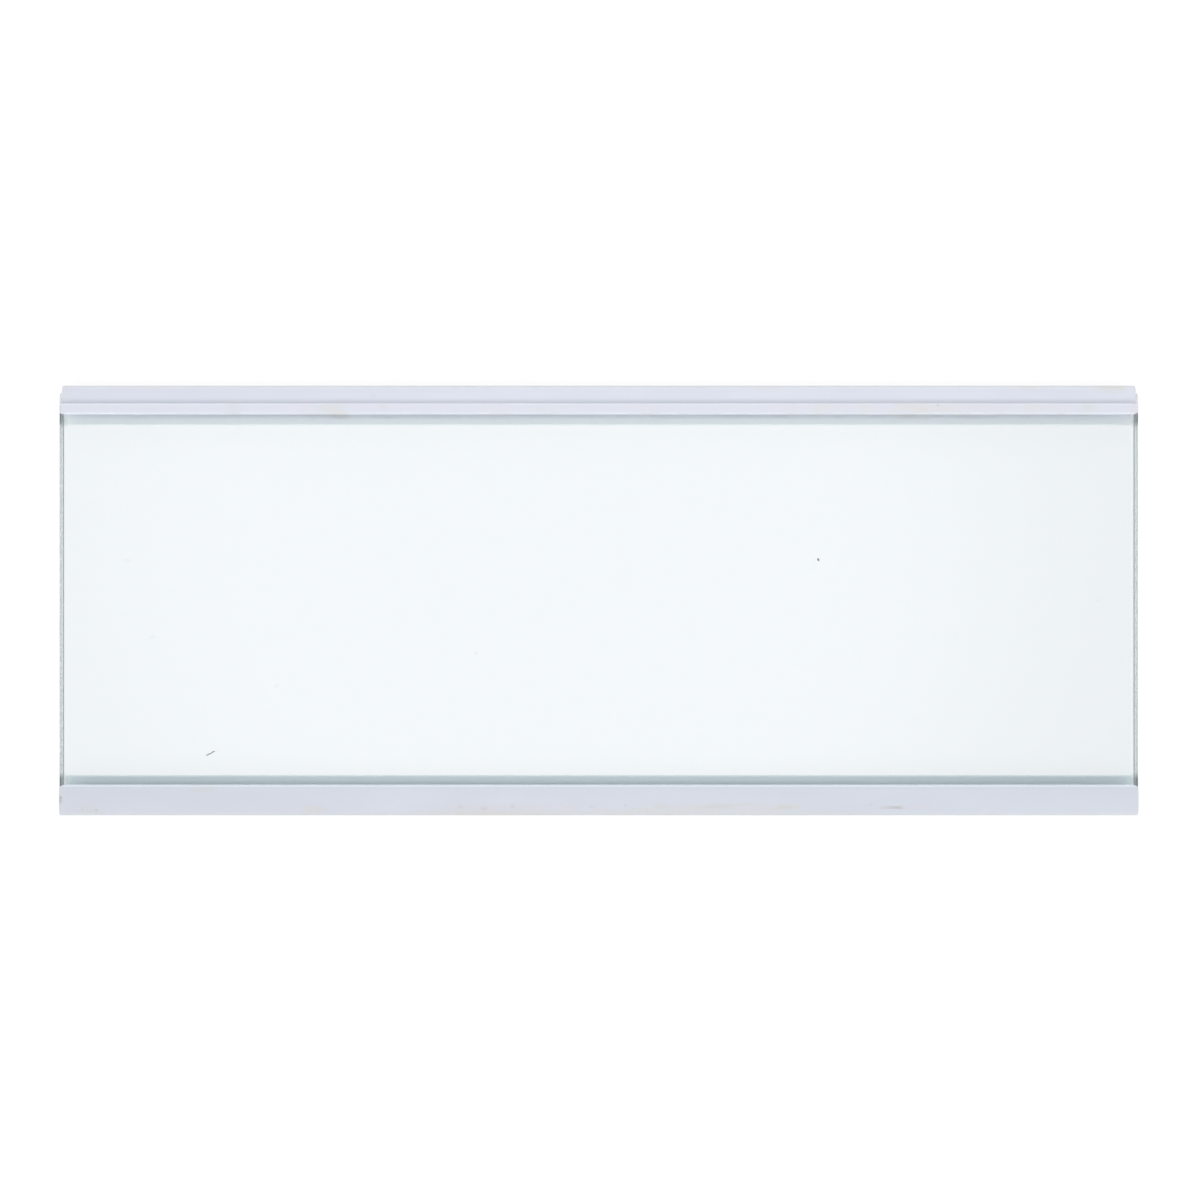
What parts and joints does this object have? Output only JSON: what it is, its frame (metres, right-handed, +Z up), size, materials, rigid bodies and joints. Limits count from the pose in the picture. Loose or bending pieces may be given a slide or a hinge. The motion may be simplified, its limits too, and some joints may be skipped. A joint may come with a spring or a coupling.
{
  "type": "fridge glass shelf",
  "caption": "Rectangular clear glass shelf with a plain extruded plastic trim along its front edge, a ridged one along its rear edge, and bare ground glass ends.",
  "frame": {"origin": "middle of the shelf's footprint, on the plane of the undersides of the trims", "axes": "+X along the trims, +Y from the plain front trim to the ridged rear trim, +Z up out of the face that carries the ridge"},
  "size_m": [0.46, 0.183, 0.0088],
  "materials": {
    "clear_glass": "clear float glass with polished faces and matt ground edges",
    "white_trim": "satin extruded plastic, cool white"
  },
  "bodies": {
    "root": {"glass_sheet": "clear_glass", "front_trim": "white_trim", "rear_trim": "white_trim"}
  },
  "joints": []
}
